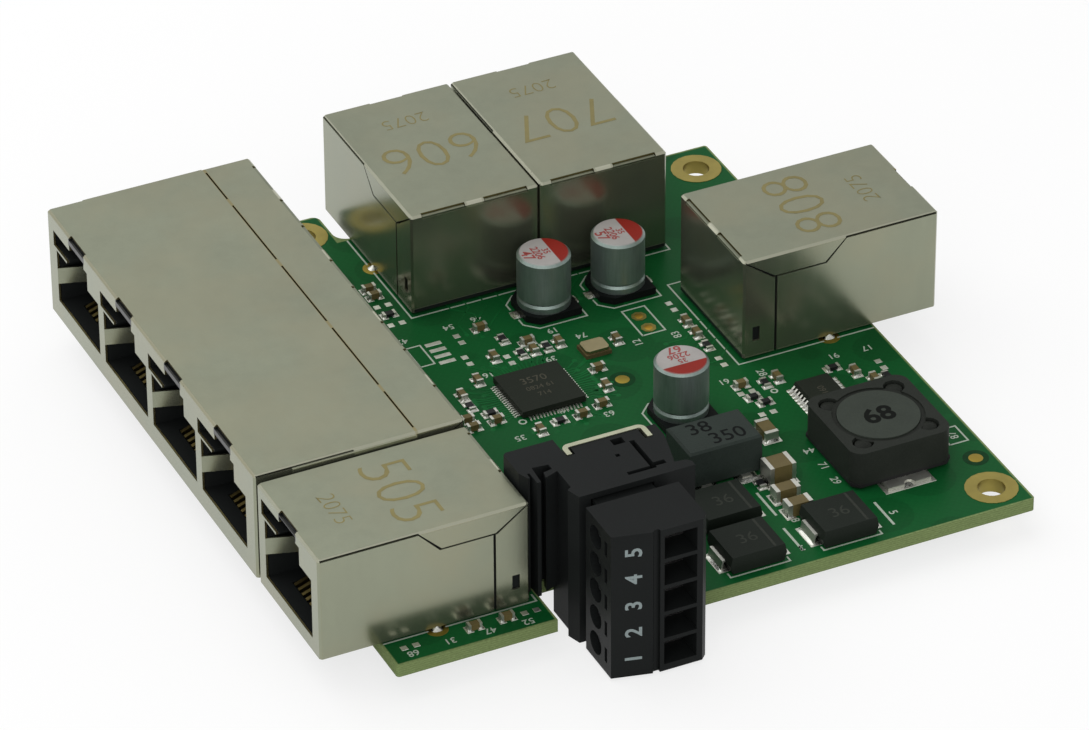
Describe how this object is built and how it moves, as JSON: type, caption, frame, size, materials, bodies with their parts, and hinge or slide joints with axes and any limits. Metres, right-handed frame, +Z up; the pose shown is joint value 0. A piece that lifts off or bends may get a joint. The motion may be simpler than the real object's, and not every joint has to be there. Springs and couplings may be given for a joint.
{
  "type": "industrial ethernet switch",
  "caption": "Bare industrial network switch board with shielded network jacks on its edges and a pluggable power connector in a notch of its front edge.",
  "frame": {"origin": "axis of the front right mounting hole at the underside of the board", "axes": "+Z up out of the component side, +Y from the power connector's edge to the back edge, +X along the front edge to the right"},
  "size_m": [0.0918, 0.0941, 0.0195],
  "materials": {
    "capacitor_aluminium": "drawn aluminium with a fine sheen",
    "capacitor_base_plastic": "moulded black",
    "capacitor_ceramic": "fired tan ceramic",
    "chip_plastic": "fine matte moulded black",
    "choke_plastic": "dark grey",
    "clamp_steel": "nickel plated steel",
    "connector_plastic": "satin moulded black",
    "contact_gold": "bright gold plating",
    "copper_winding": "enamelled copper",
    "crystal_ceramic": "dark ceramic",
    "crystal_lid_metal": "pale plated lid",
    "diode_plastic": "satin moulded black",
    "ferrite": "fired dark grey ferrite",
    "gold_plating": "matte gold plating",
    "green_solder_mask": "smooth green lacquer over a glass fibre board",
    "inductor_base_plastic": "moulded black",
    "jack_plastic": "moulded black",
    "nickel_sheet": "bright nickel plated sheet",
    "plate_metal": "nickel plated plate",
    "resistor_glaze": "black glaze",
    "screw_steel": "plated steel",
    "tin_plating": "tin plating and solder",
    "tinned_wire": "tinned"
  },
  "bodies": {
    "board_module": {"can_capacitor_1_base": "capacitor_base_plastic", "can_capacitor_1_can": "capacitor_aluminium", "can_capacitor_2_base": "capacitor_base_plastic", "can_capacitor_2_can": "capacitor_aluminium", "can_capacitor_3_base": "capacitor_base_plastic", "can_capacitor_3_can": "capacitor_aluminium", "can_capacitor_leads": "tin_plating", "choke_body": "choke_plastic", "choke_feet": "tin_plating", "circuit_board": "green_solder_mask", "controller_chip": "chip_plastic", "controller_leads": "tin_plating", "crystal_lid": "crystal_lid_metal", "crystal_tray": "crystal_ceramic", "diode_terminals": "tin_plating", "four_port_jack_contacts": "contact_gold", "four_port_jack_housing": "jack_plastic", "four_port_jack_pin_tails": "tinned_wire", "four_port_jack_shield": "nickel_sheet", "header_housing": "connector_plastic", "header_pins": "contact_gold", "header_rear_plate": "plate_metal", "inductor_base": "inductor_base_plastic", "inductor_drum": "ferrite", "inductor_frame": "ferrite", "inductor_terminals": "tin_plating", "inductor_winding": "copper_winding", "jack_5_contacts": "contact_gold", "jack_5_housing": "jack_plastic", "jack_5_pin_tails": "tinned_wire", "jack_5_shield": "nickel_sheet", "jack_6_contacts": "contact_gold", "jack_6_housing": "jack_plastic", "jack_6_pin_tails": "tinned_wire", "jack_6_shield": "nickel_sheet", "jack_7_contacts": "contact_gold", "jack_7_housing": "jack_plastic", "jack_7_pin_tails": "tinned_wire", "jack_7_shield": "nickel_sheet", "jack_8_contacts": "contact_gold", "jack_8_housing": "jack_plastic", "jack_8_pin_tails": "tinned_wire", "jack_8_shield": "nickel_sheet", "large_capacitor_bodies": "capacitor_ceramic", "large_capacitor_ends": "tin_plating", "plated_rings": "gold_plating", "protection_diode_1": "diode_plastic", "protection_diode_2": "diode_plastic", "protection_diode_3": "diode_plastic", "regulator_chip": "chip_plastic", "regulator_leads": "tin_plating", "resistor_bodies": "resistor_glaze", "resistor_ends": "tin_plating", "small_capacitor_bodies": "capacitor_ceramic", "small_capacitor_ends": "tin_plating"},
    "plug": {"plug_housing": "connector_plastic", "plug_clamp_cages": "clamp_steel", "plug_clamp_screws": "screw_steel"}
  },
  "joints": [
    {"name": "plug_slide", "type": "slide", "parent": "board_module", "child": "plug", "axis": [0, -1, 0], "range_m": [0, 0.01]}
  ]
}
